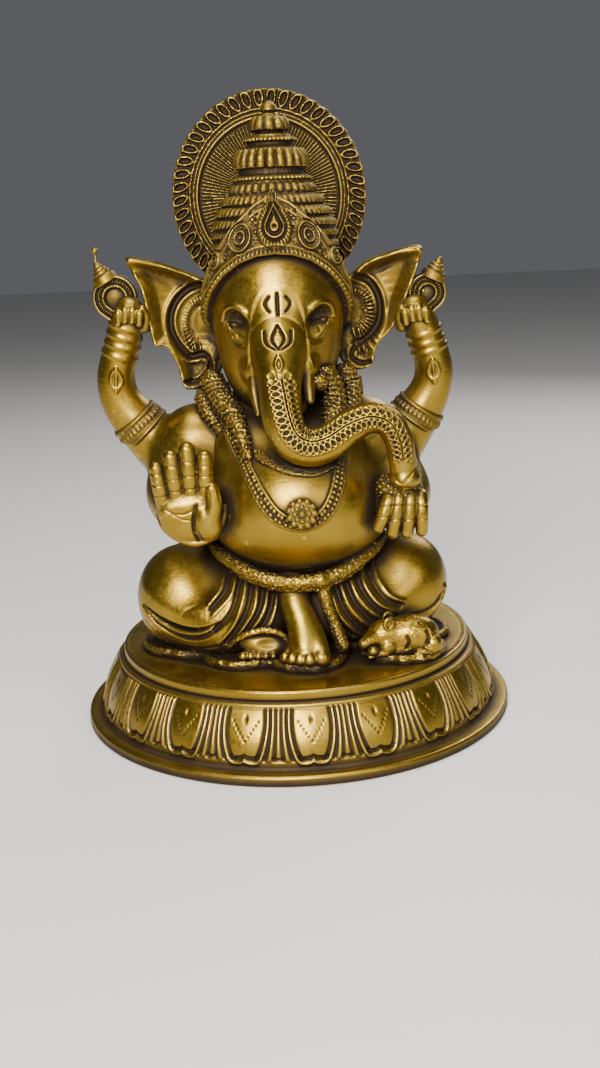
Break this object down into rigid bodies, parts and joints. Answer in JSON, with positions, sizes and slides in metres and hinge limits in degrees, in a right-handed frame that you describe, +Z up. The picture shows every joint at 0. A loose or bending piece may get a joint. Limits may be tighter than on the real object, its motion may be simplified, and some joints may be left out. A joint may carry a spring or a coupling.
{
  "type": "ganesha idol",
  "caption": "Seated four-armed elephant-headed devotional figure in antique brass with halo, crown and mouse, on a round hollow lotus pedestal.",
  "frame": {"origin": "centre of the pedestal's foot, on the surface that it stands on", "axes": "+Z up, +X to the viewer's right when facing the figure, and the figure faces -Y"},
  "size_m": [0.15, 0.15, 0.212],
  "materials": {
    "antique_brass": "satin polished on the high parts, dark patina in the hollows",
    "pedestal_brass": "turned and brushed, chased lotus band, dark patina in the cuts",
    "chased_brass": "punched granular texture",
    "ornament_brass": "beaded and chased, dark patina in the cuts",
    "screw_steel": "zinc plated"
  },
  "bodies": {
    "root": {"pedestal": "pedestal_brass", "base_screws": "screw_steel", "screw_washers": "screw_steel", "ground_slab": "chased_brass", "torso": "antique_brass", "right_leg": "antique_brass", "left_leg": "antique_brass", "right_foot": "antique_brass", "waistband": "chased_brass", "necklace": "ornament_brass", "pendant": "ornament_brass", "right_front_arm": "antique_brass", "right_hand": "antique_brass", "left_front_arm": "antique_brass", "left_hand": "antique_brass", "hand_sweet": "chased_brass", "right_rear_arm": "antique_brass", "left_rear_arm": "antique_brass", "armlets": "ornament_brass", "right_emblem": "ornament_brass", "left_emblem": "ornament_brass", "shoulder_locks": "chased_brass", "head": "antique_brass", "trunk": "antique_brass", "right_tusk": "antique_brass", "left_tusk": "antique_brass", "right_ear": "antique_brass", "left_ear": "antique_brass", "tiara": "ornament_brass", "crown": "ornament_brass", "crown_finial": "ornament_brass", "halo": "ornament_brass", "mouse": "antique_brass", "left_foot": "antique_brass"}
  },
  "joints": []
}
